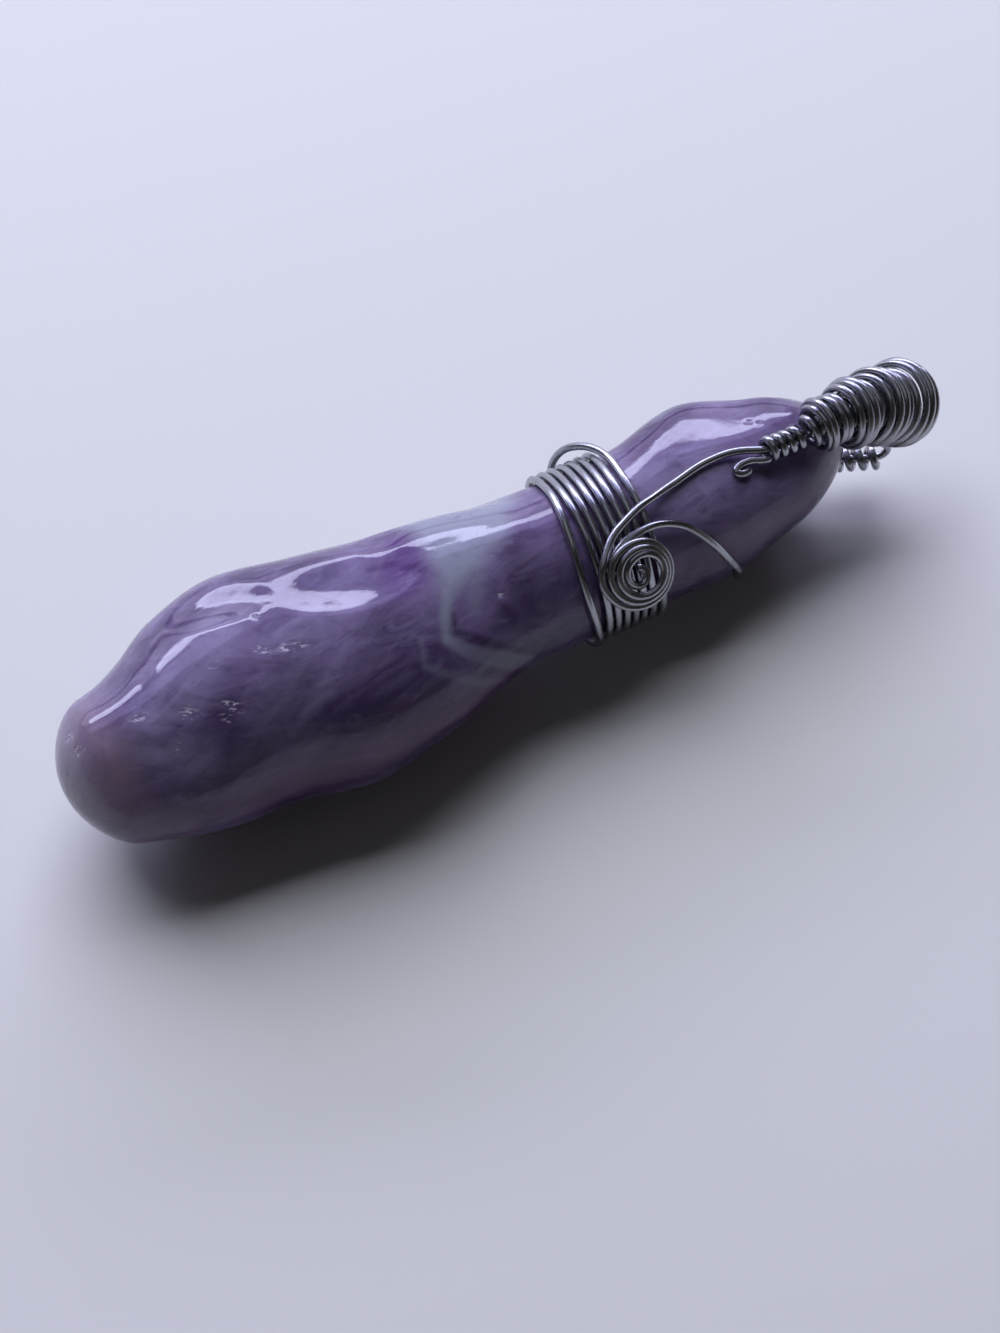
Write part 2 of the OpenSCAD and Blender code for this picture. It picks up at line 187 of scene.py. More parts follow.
# pigment, strength, softness of the edge in mm, then station, angle and half width in mm
STROKES = [
    ("milk", 1.0, 1.5, [(46.0, 6, 5.9), (46.2, 40, 6.0), (45.6, 62, 4.8), (43.8, 82, 2.9), (41.6, 98, 1.1)]),
    ("milk", 0.8, 0.5, [(41.6, 98, 0.9), (39.8, 112, 0.6), (38.9, 126, 0.5)]),
    ("milk", 0.6, 0.35, [(38.9, 126, 0.5), (40.6, 138, 0.7), (43.6, 154, 0.9), (46.5, 172, 0.9)]),
    ("milk", 0.35, 0.35, [(36.6, 118, 0.2), (35.8, 132, 0.3)]),
    ("milk", 0.4, 0.35, [(35.8, 132, 0.3), (39.5, 152, 0.4), (43.5, 174, 0.4)]),
    ("milk", 0.5, 0.9, [(45.0, 94, 0.8), (43.4, 110, 0.9), (42.8, 118, 0.5)]),
    ("deep", 1.0, 0.25, [(42.6, 92, 0.1), (40.6, 110, 0.2), (39.9, 125, 0.3)]),
    ("deep", 1.0, 0.3, [(39.9, 125, 0.4), (42.4, 138, 0.6), (46.2, 160, 0.4)]),
    ("deep", 0.8, 1.8, [(49.0, 92, 1.6), (48.4, 116, 2.0), (48.6, 138, 1.6)]),
    ("deep", 1.0, 0.9, [(45.4, 124, 0.5), (46.2, 134, 0.9)]),
    ("vivid", 1.0, 2.2, [(38.6, 56, 1.2), (38.4, 68, 2.0), (37.6, 82, 2.0), (36.8, 96, 1.0)]),
    ("deep", 0.6, 2.8, [(34.5, 98, 2.0), (32.5, 118, 2.6), (31.0, 140, 2.6)]),
    ("deep", 0.6, 2.2, [(26.0, 96, 1.6), (24.6, 112, 2.2), (22.0, 130, 2.0)]),
    # lilac strokes: the stone's own lavender, and on its top and near side partly a painted sheen of the soft
    # window above
    ("lilac_and_sheen", 1.0, 2.2, [(8.0, 116, 1.4), (10.4, 124, 2.2), (13.0, 136, 1.8)]),
    ("deep", 0.9, 2.2, [(18.0, 196, 2.0), (26.0, 178, 2.2), (34.0, 172, 2.4), (44.0, 184, 2.2)]),
    ("deep", 0.8, 2.0, [(60.0, 176, 1.6), (70.0, 186, 2.0), (78.0, 196, 1.6)]),
    ("lilac_and_sheen", 0.9, 1.8, [(22.0, 62, 1.8), (18.0, 80, 2.8), (13.6, 90, 3.4), (10.2, 96, 2.2)]),
    ("lilac_and_sheen", 0.5, 2.0, [(31.0, 88, 1.2), (27.0, 90, 2.0), (23.0, 92, 1.6)]),
    ("lilac_and_sheen", 0.5, 1.6, [(24.0, 116, 0.8), (20.0, 132, 1.2), (16.0, 142, 1.2)]),
    ("lilac_and_sheen", 0.5, 0.5, [(30.0, 104, 0.3), (25.5, 124, 0.6), (21.5, 142, 0.4)]),
    ("lilac_and_sheen", 0.5, 0.5, [(9.0, 152, 0.5), (16.0, 162, 0.6), (22.0, 166, 0.4)]),
    ("lilac_and_sheen", 0.4, 0.4, [(15.0, 156, 0.2), (23.5, 164, 0.4), (29.0, 166, 0.3)]),
    ("clear", 0.8, 2.2, [(0.6, 40, 1.6), (0.8, 160, 1.8), (0.8, 280, 1.6), (0.6, 400, 1.6)]),
    ("smoke", 0.9, 2.8, [(3.8, 50, 1.6), (4.6, 110, 2.2), (4.6, 150, 2.4), (7.6, 185, 2.4)]),
    (
        "clear", 0.9, 3.0,
        [(86.5, 60, 2.4), (86.0, 140, 3.4), (86.0, 220, 3.0), (86.5, 320, 2.4), (86.5, 420, 2.4)],
    ),
    ("smoke", 0.5, 2.0, [(81.0, 150, 1.0), (81.5, 190, 2.0)]),
    ("deep", 0.9, 0.7, [(74.4, 112, 0.8), (75.4, 118, 0.9), (76.2, 124, 0.5)]),
    ("vivid", 0.9, 2.4, [(67.0, 134, 1.8), (72.0, 132, 2.4), (76.0, 152, 2.4), (73.0, 172, 1.6)]),
    ("lilac_and_sheen", 0.6, 0.6, [(75.5, 154, 0.5), (76.8, 158, 0.5)]),
    ("lilac_and_sheen", 0.8, 2.6, [(63.5, 84, 2.2), (67.0, 96, 2.6), (71.0, 100, 2.2)]),
    ("lilac_and_sheen", 0.8, 3.0, [(62.0, 134, 1.6), (68.0, 126, 3.0), (76.0, 132, 3.0), (80.0, 140, 2.0)]),
    ("lilac_and_sheen", 0.95, 2.6, [(70.0, 150, 1.6), (74.5, 158, 2.6), (79.0, 164, 2.0)]),
    ("clear", 0.15, 2.6, [(71.0, 152, 1.4), (74.5, 160, 2.4), (79.0, 166, 1.8)]),
    ("milk", 0.6, 2.2, [(46.5, 6, 5.0), (43.0, -20, 4.0), (38.0, -50, 2.6), (34.0, -80, 1.4)]),
    ("milk", 0.5, 1.6, [(47.5, 186, 1.2), (51.0, 204, 1.8), (56.0, 232, 2.2), (60.0, 262, 1.6)]),
    ("lilac_and_sheen", 0.8, 2.2, [(16.0, -10, 2.0), (21.0, -40, 3.0), (26.0, -70, 2.0)]),
    ("deep", 0.7, 2.8, [(28.0, 10, 2.0), (32.0, -30, 3.0), (40.0, -70, 2.0)]),
    ("deep", 0.7, 2.8, [(10.0, 230, 2.0), (20.0, 250, 3.0), (28.0, 275, 2.0)]),
    ("milk", 0.6, 1.4, [(70.0, 30, 1.6), (74.0, 0, 2.0), (70.0, -40, 1.6), (66.0, -80, 1.0)]),
    ("deep", 0.6, 2.4, [(60.0, 30, 2.0), (64.0, 0, 2.4), (62.0, -40, 2.0)]),
    ("wine", 0.8, 2.5, [(10.0, 168, 1.6), (20.0, 172, 2.4), (32.0, 164, 2.6), (44.0, 176, 1.8)]),
    ("wine", 0.55, 2.4, [(58.0, 156, 1.6), (68.0, 160, 2.6), (79.0, 166, 2.2)]),
    (
        "dusty", 1.0, 3.0,
        [(4.0, 200, 3.0), (20.0, 196, 5.0), (40.0, 190, 5.0), (60.0, 190, 4.0), (80.0, 200, 3.0)],
    ),
]
PIGMENTS = ["milk", "deep", "vivid", "lilac_and_sheen", "smoke", "clear", "wine", "dusty"]


def stroke_cover(s, angle, line):
    """How far points lie outside a stroke, in mm, negative inside it."""
    outside = np.full_like(s, 1e3)
    for (s0, a0, w0), (s1, a1, w1) in zip(line, line[1:]):
        for lap in (-360, 0, 360):
            x, y = s - s0, (angle + lap - a0) * ROUND_MM
            dx, dy = s1 - s0, (a1 - a0) * ROUND_MM
            t = np.clip((x * dx + y * dy) / (dx * dx + dy * dy), 0, 1)
            gap = np.hypot(x - t * dx, y - t * dy) - (w0 + t * (w1 - w0))
            outside = np.minimum(outside, gap)
    return outside


def pigment(name, s, angle):
    """Amount of one pigment at every vertex, from 0 to 1."""
    amount = np.zeros_like(s)
    for kind, strength, soft, line in STROKES:
        if kind == name:
            edge = np.clip(0.5 - stroke_cover(s, angle, line) / (2 * soft), 0, 1)
            amount = np.maximum(amount, strength * edge * edge * (3 - 2 * edge))
    return amount


print(len(STROKES), "strokes of", PIGMENTS)

# %% [markdown]
# The polish isn't perfect. Small chips and healed cracks break the surface, and each catches a
# glint. They are pressed into the mesh as shallow dents, because a bump in the material alone
# wouldn't reach the exported shape. The material paints thin pale cracks where they are, and
# these are partly painted glints.

# %% Chips in the polish
# station, angle, half length, half width, turn in degrees, depth, all in mm
CHIPS = [
    (22.8, 78, 0.25, 0.25, 0, 0.18),
    (17.1, 93, 0.5, 0.25, 20, 0.08),
    (17.4, 117, 0.9, 0.4, 40, 0.12),
    (8.9, 92, 0.7, 0.35, 30, 0.10),
    (13.3, 109, 0.8, 0.4, 40, 0.12),
    (16.5, 121, 0.6, 0.35, 50, 0.10),
    (11.1, 121, 0.5, 0.3, -40, 0.08),
    (22.0, 98, 0.7, 0.3, 30, 0.10),
    (24.1, 100, 0.6, 0.35, 10, 0.10),
    (25.5, 100, 0.5, 0.3, 20, 0.09),
    (77.2, 76, 0.3, 0.3, 0, 0.10),
    (78.0, 81, 0.3, 0.3, 0, 0.10),
    (45.9, 118, 0.6, 0.3, 30, 0.08),
    (2.4, 66, 0.9, 0.4, 80, 0.10),
    (2.6, 88, 0.9, 0.4, 80, 0.10),
    (68.0, 250, 0.8, 0.35, 20, 0.12),
    (36.0, 280, 1.0, 0.35, -30, 0.12),
    (20.0, 330, 0.9, 0.4, 15, 0.12),
]


def chips(s, angle):
    """Depth of the chips in mm."""
    depth = np.zeros_like(s)
    for at, towards, length, width, turn, deep in CHIPS:
        x, y = s - at, turned(angle - towards) * ROUND_MM
        c, d = math.cos(math.radians(turn)), math.sin(math.radians(turn))
        u, v = (c * x + d * y) / length, (c * y - d * x) / width
        depth += deep * np.exp(-(u**2 + v**2))
    return depth


print(len(CHIPS), "chips, the deepest", max(chip[-1] for chip in CHIPS), "mm")

# %% [markdown]
# A sculpted sphere could look like this stone, but wouldn't lie on the frame's solid. So its mesh
# is computed: a tube of rings that closes to a point at each tip. The rings crowd together in the
# tips, where the surface turns quickly. Underneath it is cut by the plane that the pendant rests
# on, which leaves a small flat.

# %% The stone's mesh
TIP_RINGS_BLUNT, TIP_RINGS_SLIM, BODY_RINGS, COLUMNS = 34, 44, 372, 208
END_INSET = 0.002
FULL_CHIP = 0.1  # mm deep, from which a chip is drawn at full strength


def stations():
    """Stations of the rings from one tip to the other."""
    blunt = BLUNT_TIP * (1 - np.cos(np.pi / 2 * np.arange(TIP_RINGS_BLUNT) / TIP_RINGS_BLUNT))
    slim = SLIM_TIP * (1 - np.cos(np.pi / 2 * np.arange(TIP_RINGS_SLIM) / TIP_RINGS_SLIM))
    body = np.linspace(BLUNT_TIP, STONE_LENGTH - SLIM_TIP, BODY_RINGS)
    rows = np.concatenate([blunt, body, STONE_LENGTH - slim[::-1]])
    return np.clip(rows, END_INSET, STONE_LENGTH - END_INSET)


def stone_mesh():
    rings = stations()
    s, angle = np.meshgrid(rings, np.arange(COLUMNS) * 360 / COLUMNS, indexing="ij")
    s, angle = s.ravel(), angle.ravel()
    skin = on_stone(np.stack([s, angle, -chips(s, angle)], 1))
    skin[:, 2] = np.maximum(skin[:, 2], REST_RISE * (s - REST_STATION))  # a small flat to lie on
    poles = [skin[:COLUMNS].mean(0), skin[-COLUMNS:].mean(0)]
    first, last = len(skin), len(skin) + 1
    faces = []
    for i in range(len(rings) - 1):
        a, b = i * COLUMNS, (i + 1) * COLUMNS
        faces += [(a + k, a + (k + 1) % COLUMNS, b + (k + 1) % COLUMNS, b + k) for k in range(COLUMNS)]
    end = (len(rings) - 1) * COLUMNS
    faces += [(first, (k + 1) % COLUMNS, k) for k in range(COLUMNS)]
    faces += [(last, end + k, end + (k + 1) % COLUMNS) for k in range(COLUMNS)]
    mesh = bpy.data.meshes.new("stone_skin")
    mesh.from_pydata(to_frame(np.vstack([skin, poles])).tolist(), [], faces)
    s, angle = np.append(s, [0, STONE_LENGTH]), np.append(angle, [90, 90])
    for name in PIGMENTS:
        mesh.attributes.new(name, "FLOAT", "POINT").data.foreach_set("value", pigment(name, s, angle))
    chipped = np.clip(chips(s, angle) / FULL_CHIP, 0, 1)
    mesh.attributes.new("chipped", "FLOAT", "POINT").data.foreach_set("value", chipped)
    return mesh


stone = bpy.data.objects.new("amethyst_stone", stone_mesh())
bpy.context.scene.collection.objects.link(stone)
print("stone:", len(stone.data.vertices), "vertices,", len(stone.data.polygons), "faces")

# %% [markdown]
# Amethyst is quartz coloured violet by iron. Polished, it has a sharp gloss over a cloudy body
# that lets light in a little way, which the eye reads as depth. The body is a base colour with
# some light scattered under the surface, and the gloss has quartz's IOR of 1.54, a little dulled
# by wear. The zones of pigment come from the strokes, and noises break them up: drifts of some
# 7 mm, veils and wisps drawn out along the twist, a shade that leans across it, and a dark grain.
# Two more vary the polish: a smear in the roughness, and a faint bump.

# %% Amethyst
DUST_ROUGHNESS, CHIP_ROUGHNESS = 0.12, 0.2  # added where there is dust or a chip


def polished_banded_amethyst():
    """Gives the eye a deep violet, cloudy body under a wet-looking polish."""
    material = bpy.data.materials.new("polished_banded_amethyst")
    material.use_nodes = True
    tree = material.node_tree
    shader = tree.nodes["Principled BSDF"]
    place = node(tree, "ShaderNodeTexCoord").outputs["Object"]

    def clouds(size_mm, detail, drawn_out=1.0, lean=0.0, distortion=0.0):
        """Noise with clouds of about size_mm, drawn out along the stone and leaning to its side."""
        spin, size = (0, 0, math.radians(lean)), (drawn_out, 1, 1)
        mapped = node(
            tree,
            "ShaderNodeMapping",
            {"Vector": place, "Rotation": spin, "Scale": size},
            vector_type="TEXTURE",
        )
        plugs = {
            "Vector": mapped.outputs["Vector"],
            "Scale": 1 / (size_mm * MM),
            "Detail": detail,
            "Roughness": 0.58,
            "Distortion": distortion,
        }
        return node(tree, "ShaderNodeTexNoise", plugs).outputs["Fac"]

    def pigment_here(name):
        return node(tree, "ShaderNodeAttribute", attribute_name=name).outputs["Fac"]

    def spread(value, low, high, to_low=0.0, to_high=1.0):
        plugs = {"Value": value, "From Min": low, "From Max": high, "To Min": to_low, "To Max": to_high}
        return node(tree, "ShaderNodeMapRange", plugs).outputs["Result"]

    def times(a, b):
        return node(tree, "ShaderNodeMath", {0: a, 1: b}, operation="MULTIPLY", use_clamp=True).outputs[0]

    def over(below, above, amount):
        mix = node(tree, "ShaderNodeMix", data_type="RGBA")
        for socket, value in ((mix.inputs[0], amount), (mix.inputs[6], below), (mix.inputs[7], above)):
            if isinstance(value, bpy.types.NodeSocket):
                tree.links.new(value, socket)
            else:
                socket.default_value = value
        return mix.outputs[2]

    drift = clouds(7, 6, 1.4, 10, 0.6)
    veils = clouds(3.4, 4, 2.6, 12, 1.4)
    wisps = clouds(2.2, 5, 3.6, 4, 2.0)
    shade = clouds(3.0, 5, 2.2, -34, 1.6)
    grain = clouds(0.8, 5, 1.3, 14)
    body = over(linear("#68597f"), linear("#47385c"), spread(drift, 0.38, 0.62))
    body = over(body, linear("#4d3068"), times(pigment_here("vivid"), spread(veils, 0.3, 0.6, 1.0, 0.8)))
    body = over(body, linear("#332542"), times(pigment_here("deep"), spread(drift, 0.25, 0.6, 1.0, 0.65)))
    # lilac: partly the stone's lavender, partly a painted sheen where the soft window would be mirrored
    body = over(body, linear("#7b7292"), times(pigment_here("lilac_and_sheen"), spread(veils, 0.3, 0.65, 0.45, 0.95)))
    body = over(body, linear("#2f223c"), spread(shade, 0.5, 0.78, 0.0, 0.5))
    body = over(body, linear("#7a6e90"), spread(veils, 0.48, 0.8, 0.0, 0.5))
    body = over(body, linear("#8d83a8"), spread(wisps, 0.55, 0.85, 0.0, 0.4))
    milk = times(pigment_here("milk"), spread(veils, 0.3, 0.6, 0.72, 1.0))
    body = over(body, linear("#7c7f92"), milk)
    body = over(body, linear("#5a2258"), times(pigment_here("wine"), spread(drift, 0.3, 0.6, 0.9, 0.5)))
    body = over(body, linear("#7b6a78"), times(pigment_here("smoke"), spread(veils, 0.3, 0.7, 0.9, 0.5)))
    body = over(body, linear("#968f9b"), times(pigment_here("clear"), spread(veils, 0.3, 0.7, 1.0, 0.6)))
    body = over(body, linear("#281a38"), spread(grain, 0.58, 0.85, 0.0, 0.4))
    # thin pale cracks in the chips: partly the cracks' own paleness, partly painted glints
    cracks_and_glints = times(pigment_here("chipped"), spread(clouds(0.3, 2, 2.5, -25), 0.52, 0.62))
    body = over(body, linear("#e6def2"), times(cracks_and_glints, 0.6))
    tree.links.new(body, shader.inputs["Base Color"])
    polish = spread(clouds(5, 3), 0.35, 0.7, 0.03, 0.08)
    dust = {0: pigment_here("dusty"), 1: DUST_ROUGHNESS, 2: polish}
    worn = node(tree, "ShaderNodeMath", dust, operation="MULTIPLY_ADD").outputs[0]
    chip = {0: pigment_here("chipped"), 1: CHIP_ROUGHNESS, 2: worn}
    rough = node(tree, "ShaderNodeMath", chip, operation="MULTIPLY_ADD")
    tree.links.new(rough.outputs[0], shader.inputs["Roughness"])
    bump = node(
        tree, "ShaderNodeBump", {"Height": clouds(1.6, 6, 2.0, 14), "Strength": 0.35, "Distance": 0.05 * MM}
    )
    tree.links.new(bump.outputs[0], shader.inputs["Normal"])
    shader.inputs["IOR"].default_value = 1.54
    shader.inputs["Specular IOR Level"].default_value = 0.4
    shader.inputs["Subsurface Weight"].default_value = 0.5
    shader.inputs["Subsurface Radius"].default_value = (1.0, 0.7, 1.3)
    shader.inputs["Subsurface Scale"].default_value = 1.6 * MM
    return material


amethyst = polished_banded_amethyst()
print("material:", amethyst.name, "with", len(amethyst.node_tree.nodes), "nodes")


# %% [markdown]
# Hand polishing leaves a slow waviness of a twentieth of a millimetre, and it makes reflections
# wander. A Displace modifier could give it. A Geometry Nodes tree is used, because its wave height
# and size are named inputs, and it sets the material in the same go.

# %% A tree for hand polish
def hand_polish_tree():
    """Moves the skin in and out along its normal, in slow waves."""
    tree = bpy.data.node_groups.new("hand_polish", "GeometryNodeTree")
    sockets = {}
    tree.interface.new_socket("Geometry", in_out="INPUT", socket_type="NodeSocketGeometry")
    kinds = {"Wave height": "Float", "Wave size": "Float", "Seed": "Float", "Material": "Material"}
    for name, kind in kinds.items():
        socket = tree.interface.new_socket(name, in_out="INPUT", socket_type="NodeSocket" + kind)
        sockets[name] = socket.identifier
    tree.interface.new_socket("Geometry", in_out="OUTPUT", socket_type="NodeSocketGeometry")
    given = node(tree, "NodeGroupInput")
    scale = node(tree, "ShaderNodeMath", {0: 1.0, 1: given.outputs["Wave size"]}, operation="DIVIDE")
    noise = node(
        tree,
        "ShaderNodeTexNoise",
        {"W": given.outputs["Seed"], "Scale": scale.outputs[0], "Detail": 3.0, "Roughness": 0.42},
        noise_dimensions="4D",
    )
    centred = node(tree, "ShaderNodeMath", {0: noise.outputs["Fac"], 1: 0.5}, operation="SUBTRACT")
    height = node(
        tree, "ShaderNodeMath", {0: centred.outputs[0], 1: given.outputs["Wave height"]}, operation="MULTIPLY"
    )
    normal = node(tree, "GeometryNodeInputNormal")
    push = node(
        tree,
        "ShaderNodeVectorMath",
        {0: normal.outputs["Normal"], "Scale": height.outputs[0]},
        operation="SCALE",
    )
    moves = {"Geometry": given.outputs["Geometry"], "Offset": push.outputs[0]}
    moved = node(tree, "GeometryNodeSetPosition", moves)
    smooth = node(tree, "GeometryNodeSetShadeSmooth", {"Geometry": moved.outputs[0]})
    real = node(tree, "GeometryNodeRealizeInstances", {"Geometry": smooth.outputs[0]})
    dressed = node(
        tree, "GeometryNodeSetMaterial", {"Geometry": real.outputs[0], "Material": given.outputs["Material"]}
    )
    node(tree, "NodeGroupOutput", {"Geometry": dressed.outputs[0]})
    return tree, sockets


def grown(thing, tree, sockets, values):
    """Runs a tree on an object and keeps the result as its plain mesh."""
    modifier = thing.modifiers.new("tree", "NODES")
    modifier.node_group = tree
    for name, value in values.items():
        modifier[sockets[name]] = value
    bpy.context.view_layer.update()
    mesh = bpy.data.meshes.new_from_object(thing.evaluated_get(bpy.context.evaluated_depsgraph_get()))
    thing.modifiers.remove(modifier)
    thing.data = mesh
    mesh.name = thing.name
    return thing


polish_tree, polish_sockets = hand_polish_tree()
polish = {"Wave height": 0.12 * MM, "Wave size": 6 * MM, "Seed": 3.0, "Material": amethyst}
grown(stone, polish_tree, polish_sockets, polish)
print("polished stone:", len(stone.data.polygons), "faces, material", stone.data.materials[0].name)

# %% [markdown]
# All the metal is one gauge of drawn steel wire, 0.8 mm thick, bent by hand round the stone, round
# itself and round pliers. Each piece follows its own line, so a line of points is worked out for
# each, and one Geometry Nodes tree sweeps a round wire along any of them. The lines start from the
# points that the frame's solids follow. Where the solids keep their turns apart and few, the
# drawn windings are closer and wander a little as a hand's do, so in places they press together.

# %% Lines that the wire follows
WIRE_D, GAP = 0.8, 0.12
LAY = WIRE_D / 2 + GAP  # height of a wire's middle above what it lies on
OVER = LAY + WIRE_D + GAP  # and of a second wire over the first
COIL_R = WIRE_D + 1.5 * GAP  # a small coil's radius, round another wire
UP = np.array([0.0, 0.0, 1.0])
FINE_STEPS = 12  # points between neighbours before a line is eased
EASE_STEP, EASE_POINTS = 0.25, 12  # mm between points of an eased line, how many blend each way


def unit(v):
    return v / np.linalg.norm(v)


def curve(points, steps):
    """A smooth line through given points, with steps points between neighbours."""
    p = np.asarray(points, float)
    line = []
    for i in range(len(p) - 1):
        a, b, c, d = p[max(i - 1, 0)], p[i], p[i + 1], p[min(i + 2, len(p) - 1)]
        for t in np.arange(steps) / steps:
            line.append(
                b + t * ((c - a) / 2 + t * (a - 2.5 * b + 2 * c - d / 2 + t * (3 * (b - c) + d - a) / 2))
            )
    return np.array([*line, p[-1]])


def eased(points, reach):
    """A line through the points, evenly spaced and with its kinks eased over reach mm."""
    line = curve(points, FINE_STEPS)
    length = np.insert(np.cumsum(np.linalg.norm(np.diff(line, axis=0), axis=1)), 0, 0)
    even = np.linspace(0, length[-1], int(length[-1] / EASE_STEP) + 1)
    line = np.stack([np.interp(even, length, line[:, k]) for k in range(3)], 1)
    near = np.arange(-EASE_POINTS, EASE_POINTS + 1) * EASE_STEP
    weights = np.exp(-((near / reach) ** 2))
    before, after = line[EASE_POINTS:0:-1], line[-2 : -2 - EASE_POINTS : -1]
    padded = np.vstack([2 * line[0] - before, line, 2 * line[-1] - after])
    return np.stack([np.convolve(padded[:, k], weights / weights.sum(), "valid") for k in range(3)], 1)


def square_to(v, heading):
    return unit(v - (v @ heading) * heading)


def coil(core, turns, phase):
    """A coil round a core, whose rows are x, y, z, the coil's radius and the lean of its turns."""
    middles = core[:, :3]
    after, before = np.vstack([middles[1:], middles[-1:]]), np.vstack([middles[:1], middles[:-1]])
    sideways = UP
    line = []
    for i, heading in enumerate(after - before):
        heading = unit(heading)
        sideways = square_to(sideways, heading)
        a = math.radians(phase + 360 * turns * i / (len(core) - 1))
        arm = math.cos(a) * sideways + math.sin(a) * np.cross(heading, sideways)
        line.append(middles[i] + core[i, 3] * arm + core[i, 4] * math.cos(a) * heading)
    return np.array(line)


print(f"a wire's middle is {LAY:.2f} mm above the stone, or {OVER:.2f} mm where it crosses another")

# %% [markdown]
# The binding is one wire laid seven times round the stone's waist. It starts low on the far side,
# stands off the stone in a loose arch, and its last turn strays from the rest. A Screw modifier
# would wind it evenly on a circle, but the waist is an oval and a hand spaces turns unevenly. So
# the line is rows of station, angle and height above the stone, and the stone's own shape turns
# them into points that hug it.

# %% The binding round the waist
# the loose strand over the waist: station, angle, height above the stone
ARCH = [
    (57.6, -56, OVER),
    (57.9, -36, OVER),
    (58.2, -12, 1.45),
    (58.6, 6, 1.85),
    (59.8, 22, 2.1),
    (61.4, 37, 1.65),
    (62.4, 52, 0.85),
    (62.5, 68, LAY),
]
LANES = [62.5, 61.3, 60.25, 59.25, 58.25, 57.2, 56.2, 55.15]  # stations of the turns at LANE_ANGLE
LANE_ANGLE = 68
WAIST_STEPS = 36
# the last turn strays from the rest
STRAY = [
    (54.95, 82, LAY),
    (54.6, 98, LAY),
    (54.2, 126, LAY),
    (54.2, 150, LAY),
    (54.5, 172, 0.55),
    (54.8, 192, 0.7),
    (54.9, 220, 0.9),
    (54.9, 250, 0.95),
]


def waist_binding_line():
    """From low on the far side, over the arch, then turn by turn to the stray end."""
    last = len(LANES) - 1
    t = np.arange(1, last * WAIST_STEPS + 1) / WAIST_STEPS
    turns = np.stack([np.interp(t, range(last + 1), LANES), LANE_ANGLE + 360 * t, np.full_like(t, LAY)], 1)
    stray = np.array(STRAY) + [0, 360 * last, 0]
    line = np.vstack([curve(ARCH, steps=4), turns, curve(stray, steps=3)])
    return eased(on_stone(line), reach=0.5)


print(len(LANES) - 1, "turns round the waist, from station", LANES[0], "to", LANES[-1])

# %% [markdown]
# The scroll is the wire that shows most. From inside the neck it runs down the front as a stem and
# curls up into a flat spiral of nearly four turns, which bunch at one side, and its end dips into
# the middle. A ready-made spiral curve is even and flat, and looks stamped. Here a short table
# gives the radius, the drift and the rise turn by turn, and what lies between its rows is blended.

# %% The stem and the spiral
SPIRAL_MIDDLE = np.array([59.2, -8.2, 17.0])
SPIRAL_FACE = unit(np.array([0.02, -0.73, 0.68]))
SPIRAL_ALONG = square_to(np.array([1.0, 0, 0]), SPIRAL_FACE)
SPIRAL_DOWN = np.cross(SPIRAL_ALONG, SPIRAL_FACE)
SPIRAL_STEPS = 18  # a turn
# the turns bunch at one side and climb, and the last curls down inside: turn, radius, then how
# far the turn's middle drifts along the disc and rises from it
SPIRAL = np.array([
    [0, 3.75, 0, 0],
    [1, 3.1, 0.12, 0.4],
    [2, 2.5, 0.3, 0.75],
    [2.8, 2.0, 0.45, 0.85],
    [3.1, 1.55, 0.35, 0.4],
    [3.4, 0.95, 0.05, 0.0],
    [3.7, 0.55, -0.2, -0.1],
])
LEAD_TURNS = (-0.09, -0.06, -0.03)
COIL_LAY = COIL_R + LAY
FRONT_CORE = [(76.6, 107, COIL_LAY), (78.6, 107, COIL_LAY), (80.8, 106, COIL_LAY)]
STEM = [
    (75.0, 103, 1.0),
    (73.0, 100, 0.65),
    (70.0, 99, LAY),
    (67.3, 100, LAY),
    (65.0, 101, 0.7),
    (63.4, 103, 1.2),
    (62.0, 104.5, 1.5),
    (60.0, 109, 1.7),
    (58.0, 114.5, 2.1),
]
# the inner winding, on which the neck and the loops are wound: x, y, z, radius, lean
INNER = [
    (81.75, -1.4, 17.55, 0.5, 0),
    (83.6, -1.18, 17.42, 1.05, 0),
    (85.5, -0.98, 16.97, 1.5, 0),
    (87.4, -0.78, 16.2, 1.9, 0),
    (89.3, -0.57, 15.2, 2.3, 0),
    (91.2, -0.4, 14.15, 2.7, 0),
]
INNER_STEPS, INNER_TURNS, INNER_PHASE = 36, -11.4, 200


def spiral_point(t):
    """The point at turn t of the spiral; before turn 0 its radius goes on growing."""
    r, drift, rise = (np.interp(t, SPIRAL[:, 0], SPIRAL[:, k]) for k in (1, 2, 3))
    r -= min(t, 0) * (SPIRAL[0, 1] - SPIRAL[1, 1])
    a = math.radians(360 * t)
    return (
        SPIRAL_MIDDLE
        + drift * SPIRAL_ALONG
        + rise * SPIRAL_FACE
        + r * (math.sin(a) * SPIRAL_DOWN - math.cos(a) * SPIRAL_ALONG)
    )


def front_scroll_line():
    """From the inner winding's far end, back through the small coil, down the stem to the spiral."""
    inner = coil(curve(INNER, INNER_STEPS), INNER_TURNS, INNER_PHASE)
    lead = [spiral_point(t) for t in LEAD_TURNS]
    stem = eased(np.vstack([inner[:1], on_stone(FRONT_CORE[::-1]), on_stone(STEM), lead]), reach=0.9)
    turns = np.array([spiral_point(i / SPIRAL_STEPS) for i in range(int(SPIRAL[-1, 0] * SPIRAL_STEPS) + 1)])
    turns[1:-1] = (turns[:-2] + 2 * turns[1:-1] + turns[2:]) / 4  # eases the joins between rows
    return np.vstack([inner[:0:-1], stem, turns])


print("spiral:", SPIRAL[-1, 0], "turns, from a radius of", SPIRAL[0, 1], "to", SPIRAL[-1, 1], "mm")

